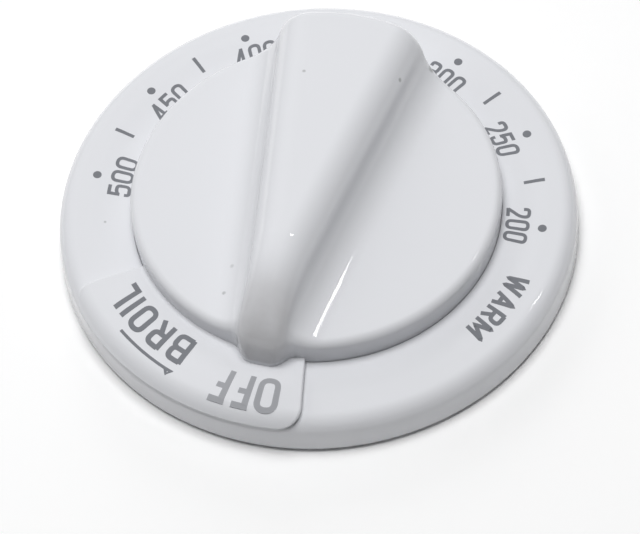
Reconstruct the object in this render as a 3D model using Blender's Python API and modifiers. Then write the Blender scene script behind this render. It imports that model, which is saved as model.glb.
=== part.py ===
"""Oven thermostat knob: a grip moulding over a dial skirt that can be reset by a few degrees.

Metres, +Z up along the shaft towards the user. The origin is on the shaft's axis at the skirt's lower edge, and the
grip's nose points along -Y.
"""
import math

import bmesh
import bpy
import numpy as np

MM = 0.001

# Clearances
SEAT_GAP = 0.3 * MM          # between pieces that bear on each other
RUN_GAP = 0.3 * MM           # radial, between pieces that turn on each other

# Dial skirt
FLANGE_WIDTH = 11.0 * MM     # from the hub's groove out to the skirt's edge
SKIRT_HEIGHT = 5.67 * MM     # top of the flange where the marks are printed
SKIRT_WALL = 1.5 * MM
RIM_TAPER = 0.3 * MM
RIM_ROUND = 2.4 * MM
FLANGE_DISH = 0.8 * MM       # how far the flange falls from the marks to the hub
MARKS_INSET = 5.2 * MM       # from the skirt's edge in to the circle of dots
WEB_TOP = 6.8 * MM           # raised floor of the skirt, inside the hub
GROOVE_DEPTH = 1.1 * MM      # the hub's wall stands this far below the flange's inner edge

# Front moulding: hub, grip and flap
HUB_RADIUS = 27.1 * MM
HUB_TOP = 9.2 * MM
HUB_ROUND = 1.2 * MM
FRONT_WALL = 1.8 * MM
GRIP_SHIFT = -0.6 * MM       # grip's middle plane, measured a little to one side of the shaft
GRIP_RISE = 8.0 * MM         # grip's flat top above the hub
GRIP_HALF_WIDTH = 6.9 * MM   # at the shaft, at the steepest line of the flank
GRIP_SPREAD = math.radians(9.37)  # each flank's lean away from the grip's middle plane, seen from above
GRIP_SHOULDER = 4.9 * MM     # width of the rounded shoulder
NOSE_SHOULDER = 2.2 * MM     # the same at the nose
GRIP_FILLET = 5.2 * MM       # width of the hollow fillet at the foot
GRIP_END_ROUND = 1.5 * MM    # edge between the grip's top and its far end
FLANK_TURN = math.radians(73.7)   # steepest slope of the flank
NOSE_STAND = 2.2 * MM        # how far the nose stands out of the hub's wall
NOSE_HALF_WIDTH = 3.4 * MM
NOSE_CORNER = 2.4 * MM
PROW_LENGTH = 15.8 * MM      # over which the grip's top falls to the nose
PROW_POWER = 2.4             # 2 makes the fall a quarter ellipse, more makes it blunter
FLAP_RISE = 1.15 * MM        # flap's top above the flange
FLAP_LIP = 0.4 * MM          # thickness at its outer edge
FLAP_TIP = math.radians(31)  # how far round the skirt's rounded rim it goes, from level
FLAP_CORNER = 4.0 * MM
FLAP_START = math.radians(217.5)
FLAP_END = math.radians(281.2)

# Stem and shaft socket
STEM_RADIUS = 5.6 * MM
STEM_END = 1.2 * MM          # height of the stem's open end
SHAFT_RADIUS = 3.2 * MM
SHAFT_FLAT = 2.3 * MM        # from the axis to the socket's flat
SOCKET_DEPTH = 11.5 * MM
RIB_THICKNESS = 1.4 * MM

# Clamp
POINTER_REACH = 4.3 * MM     # from the rear screw out to the notches
TURN_LIMIT = math.radians(30.0)
NOTCH_PITCH = math.radians(6.0)
SCREW_RADIUS = 1.45 * MM
SCREW_GRIP = 6.0 * MM        # length of thread in the boss
SCREW_POINT = 0.8 * MM
HEAD_RADIUS = 2.9 * MM
HEAD_HEIGHT = 1.7 * MM
HEAD_ROUND = 1.0 * MM
RECESS_DEPTH = 1.0 * MM
RECESS_REACH = 1.7 * MM
RECESS_WIDTH = 0.7 * MM
BOSS_WALL = 1.3 * MM
PLATE_THICKNESS = 0.8 * MM
PLATE_RING = 9.6 * MM
LUG_RADIUS = 3.6 * MM
LUG_TURN = math.radians(50)  # how far the rear lug's round goes before its tip starts
TIP_RADIUS = 0.5 * MM
NOTCH_INSET = 2.0 * MM       # from the wall round the web in to the notches
NOTCH_LENGTH = 2.4 * MM
NOTCH_WIDTH = 0.9 * MM
NOTCH_HEIGHT = 0.5 * MM
NOTCHES_EACH_WAY = 6

# Shaft clip
CLIP_THICKNESS = 0.3 * MM
CLIP_WIDTH = 3.6 * MM
CLIP_REACH = 7.0 * MM        # inner leg, up the socket from the stem's end
CLIP_TAIL = 3.2 * MM         # outer leg
CLIP_WALL = 2.0 * MM         # stem wall that the clip grips

# Looks
WHITE = (0.84, 0.85, 0.87)
ZINC = (0.62, 0.63, 0.65)
SPRING = (0.45, 0.46, 0.48)
GLOSS = 0.25
METAL_ROUGHNESS = 0.35
SMOOTH_ANGLE = math.radians(35)

# Facets
ROUND_STEPS = 80
ARC_STEPS = 5
SMALL_STEPS = 24
FINE_STEPS = 48
SLOT_STEPS = 12
END_STEPS = 6
FLAP_STEPS = 20
PROW_ROWS = 19
MIDDLE_ROWS = 4
REAR_ROWS = 3
SETTLE_TURNS = 12            # repeats that place a point of a curved row
HAIR = 0.02 * MM             # keeps walls from lying exactly in each other
FOOT_SINK = 0.12 * MM        # depth of the grip's foot below the hub's top
EDGE_SINK = math.radians(22) # and how steeply it dives under the hub's rounded edge
SINK_WIDTH = 3.5 * MM        # sideways run from the flank to where that dive is complete
HOLLOW_OVERLAP = 0.5 * MM    # how far the grip's hollow reaches into the hub's
THROUGH = 2.0 * MM           # how far a cutter passes a face

# Places that follow from the sizes above
FLANGE_AT_HUB = SKIRT_HEIGHT - FLANGE_DISH
GROOVE_FLOOR = FLANGE_AT_HUB - GROOVE_DEPTH
GROOVE_OUTER = HUB_RADIUS + RUN_GAP
SKIRT_RADIUS = GROOVE_OUTER + FLANGE_WIDTH
MARKS_RADIUS = SKIRT_RADIUS - MARKS_INSET
HUB_FOOT = GROOVE_FLOOR + SEAT_GAP
HUB_INNER = HUB_RADIUS - FRONT_WALL
STEP_RADIUS = HUB_INNER - 2 * RUN_GAP
GRIP_TOP = HUB_TOP + GRIP_RISE
FLANK_BOW = math.sin(FLANK_TURN)
NOSE_REACH = HUB_RADIUS + NOSE_STAND
PROW_START = NOSE_REACH - PROW_LENGTH
WEB_UNDER = WEB_TOP - SKIRT_WALL
PLATE_TOP = WEB_UNDER - SEAT_GAP
HEAD_TOP = PLATE_TOP - PLATE_THICKNESS - SEAT_GAP
BOSS_FOOT = WEB_TOP + SEAT_GAP
BOSS_RADIUS = SCREW_RADIUS + SEAT_GAP + BOSS_WALL
SLOT_HALF_WIDTH = SCREW_RADIUS + RUN_GAP
NOTCH_START = STEP_RADIUS - SKIRT_WALL - NOTCH_INSET - NOTCH_LENGTH
CLAMP_RADIUS = NOTCH_START - POINTER_REACH
CLIP_INNER = SHAFT_FLAT - SEAT_GAP
STEM_FLAT = SHAFT_FLAT + CLIP_WALL


def clear_scene():
    """Removes the scene's objects and makes the two collections."""
    for old in list(bpy.data.objects):
        bpy.data.objects.remove(old, do_unlink=True)
    made = []
    for name in ("oven_thermostat_knob", "cutters"):
        collection = bpy.data.collections.new(name)
        bpy.context.scene.collection.children.link(collection)
        made.append(collection)
    return made


def plastic(name, colour):
    """Glossy moulded plastic."""
    return principled(name, colour, GLOSS, 0.0)


def principled(name, colour, roughness, metallic):
    """One Principled material."""
    material = bpy.data.materials.new(name)
    material.use_nodes = True
    shader = material.node_tree.nodes["Principled BSDF"]
    shader.inputs["Base Color"].default_value = (*colour, 1.0)
    shader.inputs["Roughness"].default_value = roughness
    shader.inputs["Metallic"].default_value = metallic
    return material


def add_object(name, mesh, collection, material=None):
    """Links a mesh as a named object, with its faces turned outwards."""
    shape = bmesh.new()
    shape.from_mesh(mesh)
    bmesh.ops.remove_doubles(shape, verts=shape.verts, dist=0.001 * MM)
    bmesh.ops.recalc_face_normals(shape, faces=shape.faces)
    shape.to_mesh(mesh)
    shape.free()
    piece = bpy.data.objects.new(name, mesh)
    collection.objects.link(piece)
    if material:
        mesh.materials.append(material)
    return piece


def hide_tool(piece):
    """Marks an object that only cuts or joins."""
    piece.hide_render = True
    piece.display_type = "WIRE"
    return piece


def turned(name, profile, collection, material=None, steps=ROUND_STEPS, closed=True):
    """Turns a profile of (radius, height) points round Z with a Screw modifier.

    A closed profile makes a ring. An open one starts and ends on the axis.
    """
    mesh = bpy.data.meshes.new(name)
    count = len(profile)
    edges = [(i, i + 1) for i in range(count - 1)]
    if closed:
        edges.append((count - 1, 0))
    mesh.from_pydata([(r, 0.0, z) for r, z in profile], edges, [])
    piece = bpy.data.objects.new(name, mesh)
    collection.objects.link(piece)
    screw = piece.modifiers.new("turn", "SCREW")
    screw.steps = screw.render_steps = steps
    screw.use_merge_vertices = True
    screw.merge_threshold = 0.001 * MM
    screw.use_smooth_shade = False
    if material:
        mesh.materials.append(material)
    return piece


def flat_solid(name, outlines, low, high, collection, material=None):
    """A flat outline, with holes if more than one is given, from height low to height high."""
    curve = bpy.data.curves.new(name, "CURVE")
    curve.dimensions = "2D"
    curve.fill_mode = "BOTH"
    curve.extrude = (high - low) / 2
    for outline in outlines:
        spline = curve.splines.new("POLY")
        spline.points.add(len(outline) - 1)
        for point, (x, y) in zip(spline.points, outline):
            point.co = (x, y, 0.0, 1.0)
        spline.use_cyclic_u = True
    holder = bpy.data.objects.new(name, curve)
    collection.objects.link(holder)
    evaluated = holder.evaluated_get(bpy.context.evaluated_depsgraph_get())
    mesh = bpy.data.meshes.new_from_object(evaluated)
    bpy.data.objects.remove(holder)
    for vertex in mesh.vertices:
        vertex.co.z += (low + high) / 2
    mesh.materials.clear()
    return add_object(name, mesh, collection, material)


def cylinder(name, radius, low, high, x, y, collection, steps=SMALL_STEPS):
    """An upright cylinder."""
    shape = bmesh.new()
    bmesh.ops.create_cone(shape, cap_ends=True, segments=steps, radius1=radius, radius2=radius, depth=high - low)
    bmesh.ops.translate(shape, verts=shape.verts, vec=(x, y, (low + high) / 2))
    mesh = bpy.data.meshes.new(name)
    shape.to_mesh(mesh)
    shape.free()
    return add_object(name, mesh, collection)


def box(name, size, centre, collection, turn=0.0):
    """A box of the given size, turned about Z."""
    shape = bmesh.new()
    bmesh.ops.create_cube(shape, size=1.0)
    bmesh.ops.scale(shape, vec=size, verts=shape.verts)
    mesh = bpy.data.meshes.new(name)
    shape.to_mesh(mesh)
    shape.free()
    piece = add_object(name, mesh, collection)
    piece.location = centre
    piece.rotation_euler.z = turn
    return piece


def combine(piece, tool, operation):
    """Adds a Boolean modifier, and hides its tool."""
    step = piece.modifiers.new(f"{operation.lower()}_{tool.name}", "BOOLEAN")
    step.operation = operation
    step.solver = "EXACT"
    step.object = hide_tool(tool)


def arc(centre, radius, start, end, steps=ARC_STEPS):
    """Points along an arc, both ends included. Angles in radians."""
    angles = np.linspace(start, end, steps + 1)
    return [(centre[0] + radius * math.cos(a), centre[1] + radius * math.sin(a)) for a in angles]


def rounded_corner(corner, before, after, radius, steps=ARC_STEPS):
    """Points of the fillet at a corner between the points before and after it."""
    corner, before, after = (np.array(p, float) for p in (corner, before, after))
    to_before = (before - corner) / np.linalg.norm(before - corner)
    to_after = (after - corner) / np.linalg.norm(after - corner)
    half = math.acos(float(np.clip(to_before @ to_after, -1.0, 1.0))) / 2
    middle = (to_before + to_after) / np.linalg.norm(to_before + to_after)
    centre = corner + middle * radius / math.sin(half)
    start = corner + to_before * radius / math.tan(half) - centre
    end = corner + to_after * radius / math.tan(half) - centre
    first = math.atan2(start[1], start[0])
    sweep = (math.atan2(end[1], end[0]) - first + math.pi) % (2 * math.pi) - math.pi
    return arc(centre, radius, first, first + sweep, steps)


def flange_top(radius):
    """Height of the flange's upper face, a shallow dish that falls towards the hub."""
    slope = FLANGE_DISH / (MARKS_RADIUS - GROOVE_OUTER)
    return SKIRT_HEIGHT + slope * (min(radius, MARKS_RADIUS) - MARKS_RADIUS)


def skirt_profile():
    """Section of the skirt: web inside the hub, groove for the hub's wall, dished flange, rounded rim."""
    top_edge = SKIRT_RADIUS - RIM_TAPER
    inner_rim = SKIRT_RADIUS - SKIRT_WALL
    hole = STEM_RADIUS + RUN_GAP
    flange_under = SKIRT_HEIGHT - SKIRT_WALL
    groove_under = GROOVE_FLOOR - SKIRT_WALL
    rim = arc((top_edge - RIM_ROUND, SKIRT_HEIGHT - RIM_ROUND), RIM_ROUND, math.pi / 2, 0.0)
    inner_round = RIM_ROUND - SKIRT_WALL
    under = arc((top_edge - RIM_ROUND, flange_under - inner_round), inner_round, 0.0, math.pi / 2, 2)
    return [
        (hole, WEB_TOP),
        (STEP_RADIUS, WEB_TOP),
        (STEP_RADIUS, GROOVE_FLOOR),
        (GROOVE_OUTER, GROOVE_FLOOR),
        (GROOVE_OUTER, flange_top(GROOVE_OUTER)),
        (MARKS_RADIUS, SKIRT_HEIGHT),
        *rim,
        (SKIRT_RADIUS, 0.0),
        (inner_rim, 0.0),
        *under,
        (MARKS_RADIUS, flange_under),
        (GROOVE_OUTER + SKIRT_WALL, flange_top(GROOVE_OUTER + SKIRT_WALL) - SKIRT_WALL),
        (GROOVE_OUTER + SKIRT_WALL, groove_under),
        (STEP_RADIUS - SKIRT_WALL, groove_under),
        (STEP_RADIUS - SKIRT_WALL, WEB_UNDER),
        (hole, WEB_UNDER),
    ]


def slot_outline(middle):
    """Curved slot that lets a clamp screw travel between the limits of the turn."""
    start = middle - TURN_LIMIT
    end = middle + TURN_LIMIT
    last = (CLAMP_RADIUS * math.cos(end), CLAMP_RADIUS * math.sin(end))
    first = (CLAMP_RADIUS * math.cos(start), CLAMP_RADIUS * math.sin(start))
    outer = arc((0, 0), CLAMP_RADIUS + SLOT_HALF_WIDTH, start, end, SLOT_STEPS)
    inner = arc((0, 0), CLAMP_RADIUS - SLOT_HALF_WIDTH, end, start, SLOT_STEPS)
    far = arc(last, SLOT_HALF_WIDTH, end, end + math.pi, END_STEPS)
    near = arc(first, SLOT_HALF_WIDTH, start + math.pi, start + 2 * math.pi, END_STEPS)
    return outer[:-1] + far[:-1] + inner[:-1] + near[:-1]


def make_skirt(parts, cutters, material):
    """Printed skirt with its curved slots and, under its web, the notches that the pointer reads."""
    skirt = turned("dial_skirt", skirt_profile(), parts, material)
    for name, middle in (("slot_front", -math.pi / 2), ("slot_rear", math.pi / 2)):
        tool = flat_solid(name, [slot_outline(middle)], WEB_UNDER - THROUGH, WEB_TOP + THROUGH, cutters)
        combine(skirt, tool, "DIFFERENCE")
    depth = NOTCH_HEIGHT + SKIRT_WALL / 2
    radius = NOTCH_START + NOTCH_LENGTH / 2
    for i in range(-NOTCHES_EACH_WAY, NOTCHES_EACH_WAY + 1):
        angle = math.pi / 2 + i * NOTCH_PITCH
        centre = (radius * math.cos(angle), radius * math.sin(angle), WEB_UNDER - NOTCH_HEIGHT + depth / 2)
        tooth = box(f"notch_{i + NOTCHES_EACH_WAY:02d}", (NOTCH_LENGTH, NOTCH_WIDTH, depth), centre, cutters, angle)
        combine(skirt, tooth, "UNION")
    return skirt


def hub_profile():
    """Section of the hub before it is hollowed: a low drum with a rounded top edge."""
    edge = arc((HUB_RADIUS - HUB_ROUND, HUB_TOP - HUB_ROUND), HUB_ROUND, math.pi / 2, 0.0)
    return [(0.0, HUB_TOP), *edge, (HUB_RADIUS, HUB_FOOT), (0.0, HUB_FOOT)]


def prow_height(y, inset):
    """Height of the grip's top: flat, then a quarter of a superellipse down to the nose."""
    base = FLANGE_AT_HUB + FLAP_RISE
    run = NOSE_REACH - PROW_START - inset
    rise = GRIP_TOP - base - inset
    along = min(max(-y - PROW_START, 0.0) / run, 1.0)
    return base + rise * (1.0 - along ** PROW_POWER) ** (1.0 / PROW_POWER)


def shoulder_width(y, middle):
    """Width of the rounded shoulder, which narrows from the start of the prow to the nose."""
    start = GRIP_HALF_WIDTH - math.tan(GRIP_SPREAD) * PROW_START
    along = min(max((NOSE_REACH + y) / (NOSE_REACH - PROW_START), 0.0), 1.0)
    return min(GRIP_SHOULDER, middle, NOSE_SHOULDER + (start - NOSE_SHOULDER) * along)


def hub_edge_drop(x, y):
    """How far the hub's rounded top edge has fallen below its top, and the grip's foot with it."""
    over = min(max(math.hypot(x, y) - (HUB_RADIUS - HUB_ROUND), 0.0), HUB_ROUND)
    return HUB_ROUND - math.sqrt(HUB_ROUND ** 2 - over ** 2) + over * math.tan(EDGE_SINK)


def grip_section(y, inset, side):
    """Half section of the grip at y, as (x, z) from the middle of its top to the foot of its flank.

    The shoulder is an arc that stops short of upright, and the hollow fillet is the same arc turned over. An inset
    gives the section of the hollow inside.
    """
    middle = max(GRIP_HALF_WIDTH + math.tan(GRIP_SPREAD) * y, NOSE_HALF_WIDTH) - inset
    flat = middle - shoulder_width(y, middle)
    foot = middle + GRIP_FILLET
    top = prow_height(y, inset)
    floor = min(HUB_TOP - inset - FOOT_SINK, top)
    drop = top - floor
    share = (middle - flat) / (foot - flat)
    bow = 1.0 - math.sqrt(1.0 - FLANK_BOW ** 2)
    points = [(0.0, top), (flat / 2, top)]
    for step in np.linspace(0.0, 1.0, ARC_STEPS + 1):
        turn = math.sin(step * math.asin(FLANK_BOW))
        down = (1.0 - math.sqrt(1.0 - turn ** 2)) / bow
        points.append((flat + (middle - flat) * turn / FLANK_BOW, top - drop * share * down))
    for step in np.linspace(1.0, 0.0, ARC_STEPS + 1)[1:]:
        turn = math.sin(step * math.asin(FLANK_BOW))
        up = (1.0 - math.sqrt(1.0 - turn ** 2)) / bow
        x = foot - (foot - middle) * turn / FLANK_BOW
        sink = min((x - middle) / SINK_WIDTH, 1.0) * hub_edge_drop(side * x + GRIP_SHIFT, y)
        points.append((x, floor + drop * (1.0 - share) * up - sink))
    return points


def grip_stations(inset):
    """Rows of the loft, as how far each is bent from straight to a circle about the shaft, its radius and its drop.

    The rows are straight over the prow and the middle, and bend over the rear to follow the hub's wall.
    """
    rows = []
    for y in np.linspace(inset - NOSE_REACH, -PROW_START, PROW_ROWS):
        rows.append((0.0, float(y), 0.0))
    for y in np.linspace(-PROW_START / 2, HUB_RADIUS / 2, MIDDLE_ROWS):
        rows.append((0.0, float(y), 0.0))
    edge = HUB_RADIUS - inset
    for bend in np.linspace(0.0, 1.0, REAR_ROWS + 1)[1:]:
        rows.append((float(bend), edge - GRIP_END_ROUND, 0.0))
    for angle in np.linspace(0.0, math.pi / 2, ARC_STEPS)[1:]:
        radius = edge - GRIP_END_ROUND * (1.0 - math.sin(angle))
        rows.append((1.0, radius, GRIP_END_ROUND * (1.0 - math.cos(angle))))
    return rows


def station_points(bend, place, drop, inset):
    """One row of the loft, from the left foot over the top to the right foot."""
    straight = HUB_RADIUS / 2 if bend else place
    halves = []
    for side in (-1, 1):
        half = []
        for k in range(len(grip_section(0.0, inset, side))):
            y = straight
            for _ in range(SETTLE_TURNS):
                x, z = grip_section(y, inset, side)[k]
                x = side * x + GRIP_SHIFT
                if bend:
                    y = straight + bend * (math.sqrt(max(place ** 2 - x ** 2, 0.0)) - straight)
            half.append((x, y, z - drop))
        halves.append(half)
    return list(reversed(halves[0][1:])) + halves[1]


def grip_loft(name, inset, low, collection):
    """Lofts the grip, or its hollow, through its rows, over a flat underside at height low."""
    rows = [station_points(*row, inset) for row in grip_stations(inset)]
    shape = bmesh.new()
    upper = [[shape.verts.new((x, y, max(z, low + HAIR))) for x, y, z in row] for row in rows]
    lower = [[shape.verts.new((x, y, low)) for x, y, _ in row] for row in rows]
    for near, far, near_low, far_low in zip(upper, upper[1:], lower, lower[1:]):
        for i in range(len(near) - 1):
            shape.faces.new((near[i], near[i + 1], far[i + 1], far[i]))
            shape.faces.new((near_low[i], far_low[i], far_low[i + 1], near_low[i + 1]))
        for i in (0, -1):
            shape.faces.new((near[i], far[i], far_low[i], near_low[i]))
    for top_row, low_row in ((upper[0], lower[0]), (upper[-1], lower[-1])):
        for i in range(len(top_row) - 1):
            shape.faces.new((top_row[i], top_row[i + 1], low_row[i + 1], low_row[i]))
    mesh = bpy.data.meshes.new(name)
    shape.to_mesh(mesh)
    shape.free()
    return add_object(name, mesh, collection)


def nose_plan():
    """Plan of the nose: a bar from the shaft forward, its two front corners rounded."""
    left = (GRIP_SHIFT - NOSE_HALF_WIDTH, -NOSE_REACH)
    right = (GRIP_SHIFT + NOSE_HALF_WIDTH, -NOSE_REACH)
    left_root = (left[0], 0.0)
    right_root = (right[0], 0.0)
    front = rounded_corner(left, left_root, right, NOSE_CORNER) + rounded_corner(right, left, right_root, NOSE_CORNER)
    return [left_root, *front, right_root]


def flap_profile():
    """Section of the flap, which follows the flange with a gap and thins to a lip over the rounded rim."""
    root = HUB_RADIUS - FRONT_WALL / 2
    under = [(root, flange_top(root)), (MARKS_RADIUS, SKIRT_HEIGHT)]
    lower = [(r, z + SEAT_GAP) for r, z in under]
    centre_radius = SKIRT_RADIUS - RIM_TAPER - RIM_ROUND
    centre_height = SKIRT_HEIGHT - RIM_ROUND
    bend = RIM_ROUND + SEAT_GAP
    curl = arc((centre_radius, centre_height), bend, math.pi / 2, FLAP_TIP)
    outer = []
    for share in np.linspace(0.0, 1.0, ARC_STEPS + 1):
        angle = FLAP_TIP + share * (math.pi / 2 - FLAP_TIP)
        radius = bend + FLAP_LIP + share * (FLAP_RISE - SEAT_GAP - FLAP_LIP)
        outer.append((centre_radius + radius * math.cos(angle), centre_height + radius * math.sin(angle)))
    top = [(MARKS_RADIUS, SKIRT_HEIGHT + FLAP_RISE), (root, flange_top(root) + FLAP_RISE)]
    return list(reversed(lower + curl + outer + top))


def flap_plan():
    """Plan of the flap: a sector with its two outer corners rounded."""
    reach = SKIRT_RADIUS
    root = HUB_RADIUS - FRONT_WALL / 2
    corner_start = (reach * math.cos(FLAP_START), reach * math.sin(FLAP_START))
    corner_end = (reach * math.cos(FLAP_END), reach * math.sin(FLAP_END))
    root_start = (root * math.cos(FLAP_START), root * math.sin(FLAP_START))
    root_end = (root * math.cos(FLAP_END), root * math.sin(FLAP_END))
    pull = FLAP_CORNER / reach
    rim = arc((0, 0), reach, FLAP_START + 2 * pull, FLAP_END - 2 * pull, FLAP_STEPS)
    first = rounded_corner(corner_start, root_start, rim[0], FLAP_CORNER)
    last = rounded_corner(corner_end, rim[-1], root_end, FLAP_CORNER)
    return [root_start, *first, *rim, *last, root_end]


def socket_outline(radius, flat):
    """D shape: a circle cut by a flat on its +Y side."""
    start = math.asin(flat / radius)
    return arc((0, 0), radius, math.pi - start, 2 * math.pi + start, SMALL_STEPS)


def make_front(parts, cutters, material):
    """Front moulding: hub, grip and flap outside, and the stem, bosses and ribs inside."""
    front = turned("knob_front", hub_profile(), parts, material, closed=False)
    grip = grip_loft("grip_form", 0.0, FLANGE_AT_HUB + FLAP_RISE / 2, cutters)
    plan = cylinder("hub_plan", HUB_RADIUS - HAIR, 0.0, GRIP_TOP + THROUGH, 0.0, 0.0, cutters, ROUND_STEPS)
    nose = flat_solid("nose_plan", [nose_plan()], -THROUGH, GRIP_TOP + 2 * THROUGH, cutters)
    combine(plan, nose, "UNION")
    combine(grip, plan, "INTERSECT")
    flap = turned("flap_form", flap_profile(), cutters)
    sector = flat_solid("flap_plan", [flap_plan()], 0.0, GRIP_TOP, cutters)
    combine(flap, sector, "INTERSECT")
    combine(front, grip, "UNION")
    combine(front, flap, "UNION")

    ceiling = HUB_TOP - FRONT_WALL
    hollow = cylinder("hub_hollow", HUB_INNER, HUB_FOOT - THROUGH, ceiling, 0.0, 0.0, cutters, ROUND_STEPS)
    combine(front, hollow, "DIFFERENCE")
    inside = cylinder("grip_hollow_plan", HUB_INNER - HAIR, 0.0, GRIP_TOP, 0.0, 0.0, cutters, ROUND_STEPS)
    grip_hollow = grip_loft("grip_hollow", FRONT_WALL, ceiling - HOLLOW_OVERLAP, cutters)
    combine(grip_hollow, inside, "INTERSECT")
    combine(front, grip_hollow, "DIFFERENCE")

    trim = grip_loft("post_trim", FRONT_WALL / 2, 0.0, cutters)
    rib_low = ceiling + FRONT_WALL / 2
    rib_size = (RIB_THICKNESS, 2 * CLAMP_RADIUS, GRIP_TOP - rib_low)
    posts = cylinder("posts", STEM_RADIUS, STEM_END, GRIP_TOP, 0.0, 0.0, cutters, FINE_STEPS)
    for name, y in (("boss_front", -CLAMP_RADIUS), ("boss_rear", CLAMP_RADIUS)):
        combine(posts, cylinder(name, BOSS_RADIUS, BOSS_FOOT, GRIP_TOP, 0.0, y, cutters), "UNION")
    combine(posts, box("rib", rib_size, (0.0, 0.0, (GRIP_TOP + rib_low) / 2), cutters), "UNION")
    combine(posts, trim, "INTERSECT")
    combine(front, posts, "UNION")

    for name, y in (("pilot_front", -CLAMP_RADIUS), ("pilot_rear", CLAMP_RADIUS)):
        pilot_top = BOSS_FOOT + SCREW_GRIP + SEAT_GAP
        pilot = cylinder(name, SCREW_RADIUS + SEAT_GAP, BOSS_FOOT - THROUGH, pilot_top, 0.0, y, cutters)
        combine(front, pilot, "DIFFERENCE")
    socket = flat_solid("socket", [socket_outline(SHAFT_RADIUS, SHAFT_FLAT)], STEM_END - THROUGH,
                        STEM_END + SOCKET_DEPTH, cutters)
    combine(front, socket, "DIFFERENCE")
    relief_high = STEM_END + CLIP_TAIL + SEAT_GAP
    relief = box("clip_relief", (2 * STEM_RADIUS, STEM_RADIUS, relief_high + THROUGH),
                 (0.0, STEM_FLAT + STEM_RADIUS / 2, (relief_high - THROUGH) / 2), cutters)
    combine(front, relief, "DIFFERENCE")
    return front


def plate_outline():
    """Pointer plate: a ring round the stem, a lug for each screw, and a pointed tip beyond the rear lug."""
    lean = math.asin(LUG_RADIUS / PLATE_RING)
    right = arc((0, 0), PLATE_RING, -math.pi / 2 + lean, math.pi / 2 - lean, SLOT_STEPS)
    left = arc((0, 0), PLATE_RING, math.pi / 2 + lean, 3 * math.pi / 2 - lean, SLOT_STEPS)
    rear_right = arc((0, CLAMP_RADIUS), LUG_RADIUS, 0.0, LUG_TURN)
    rear_left = arc((0, CLAMP_RADIUS), LUG_RADIUS, math.pi - LUG_TURN, math.pi)
    tip = (0, NOTCH_START - SEAT_GAP - TIP_RADIUS)
    point = arc(tip, TIP_RADIUS, math.pi / 6, 5 * math.pi / 6)
    front = arc((0, -CLAMP_RADIUS), LUG_RADIUS, math.pi, 2 * math.pi, SLOT_STEPS)
    return right + rear_right + point + rear_left + left + front


def circle(radius, x, y, steps=SMALL_STEPS):
    """Points of a full circle."""
    return arc((x, y), radius, 0.0, 2 * math.pi, steps)[:-1]


def make_plate(parts, material):
    """Thin steel plate that the screws clamp against the skirt's web."""
    holes = [circle(STEM_RADIUS + 2 * RUN_GAP, 0.0, 0.0, FINE_STEPS)]
    holes += [circle(SCREW_RADIUS + RUN_GAP, 0.0, y) for y in (-CLAMP_RADIUS, CLAMP_RADIUS)]
    return flat_solid("pointer_plate", [plate_outline(), *holes], PLATE_TOP - PLATE_THICKNESS, PLATE_TOP, parts,
                      material)


def screw_profile():
    """Section of a clamp screw, head down: blunt point, shank and domed pan head."""
    head_low = HEAD_TOP - HEAD_HEIGHT
    tip = BOSS_FOOT + SCREW_GRIP
    dome = arc((HEAD_RADIUS - HEAD_ROUND, head_low + HEAD_ROUND), HEAD_ROUND, 0.0, -math.pi / 2)
    return [
        (0.0, tip),
        (SCREW_RADIUS / 2, tip),
        (SCREW_RADIUS, tip - SCREW_POINT),
        (SCREW_RADIUS, HEAD_TOP),
        (HEAD_RADIUS, HEAD_TOP),
        *dome,
        (0.0, head_low),
    ]


def make_screw(name, y, parts, cutters, material):
    """One pan head screw with a cross recess."""
    screw = turned(name, screw_profile(), parts, material, SMALL_STEPS, closed=False)
    low = HEAD_TOP - HEAD_HEIGHT
    for turn, tag in ((math.pi / 4, "a"), (-math.pi / 4, "b")):
        size = (2 * RECESS_REACH, RECESS_WIDTH, 2 * RECESS_DEPTH)
        combine(screw, box(f"{name}_recess_{tag}", size, (0.0, y, low), cutters, turn), "DIFFERENCE")
    screw.location.y = y
    return screw


def make_clip(parts, material):
    """Leaf spring bent over the stem's end: one leg in the socket, one outside. Extruded along X."""
    inner = CLIP_INNER
    outer = STEM_FLAT + SEAT_GAP + CLIP_THICKNESS
    low = STEM_END - SEAT_GAP - CLIP_THICKNESS
    bend = CLIP_THICKNESS * 2
    thin = CLIP_THICKNESS
    outside = [(inner - thin, STEM_END + CLIP_REACH)]
    outside += arc((inner - thin + bend, low + bend), bend, math.pi, 1.5 * math.pi, 3)
    outside += arc((outer - bend, low + bend), bend, -math.pi / 2, 0.0, 3)
    outside += [(outer, STEM_END + CLIP_TAIL)]
    inside = [(outer - thin, STEM_END + CLIP_TAIL)]
    inside += arc((outer - bend, low + bend), bend - thin, 0.0, -math.pi / 2, 3)
    inside += arc((inner - thin + bend, low + bend), bend - thin, 1.5 * math.pi, math.pi, 3)
    inside += [(inner, STEM_END + CLIP_REACH)]
    clip = flat_solid("shaft_clip", [outside + inside], -CLIP_WIDTH / 2, CLIP_WIDTH / 2, parts, material)
    for vertex in clip.data.vertices:
        along, up, across = vertex.co
        vertex.co = (across, along, up)
    return clip


def shade(pieces):
    """Smooth shading with sharp edges."""
    for piece in pieces:
        piece.data.shade_smooth()
        piece.data.set_sharp_from_angle(angle=SMOOTH_ANGLE)


def main():
    parts, cutters = clear_scene()
    screw_steel = principled("screw_steel", ZINC, METAL_ROUGHNESS, 1.0)
    pieces = [
        make_front(parts, cutters, plastic("front_plastic", WHITE)),
        make_skirt(parts, cutters, plastic("skirt_plastic", WHITE)),
        make_plate(parts, principled("plate_steel", ZINC, METAL_ROUGHNESS, 1.0)),
        make_screw("clamp_screw_front", -CLAMP_RADIUS, parts, cutters, screw_steel),
        make_screw("clamp_screw_rear", CLAMP_RADIUS, parts, cutters, screw_steel),
        make_clip(parts, principled("spring_steel", SPRING, METAL_ROUGHNESS, 1.0)),
    ]
    shade(pieces)


main()
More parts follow.
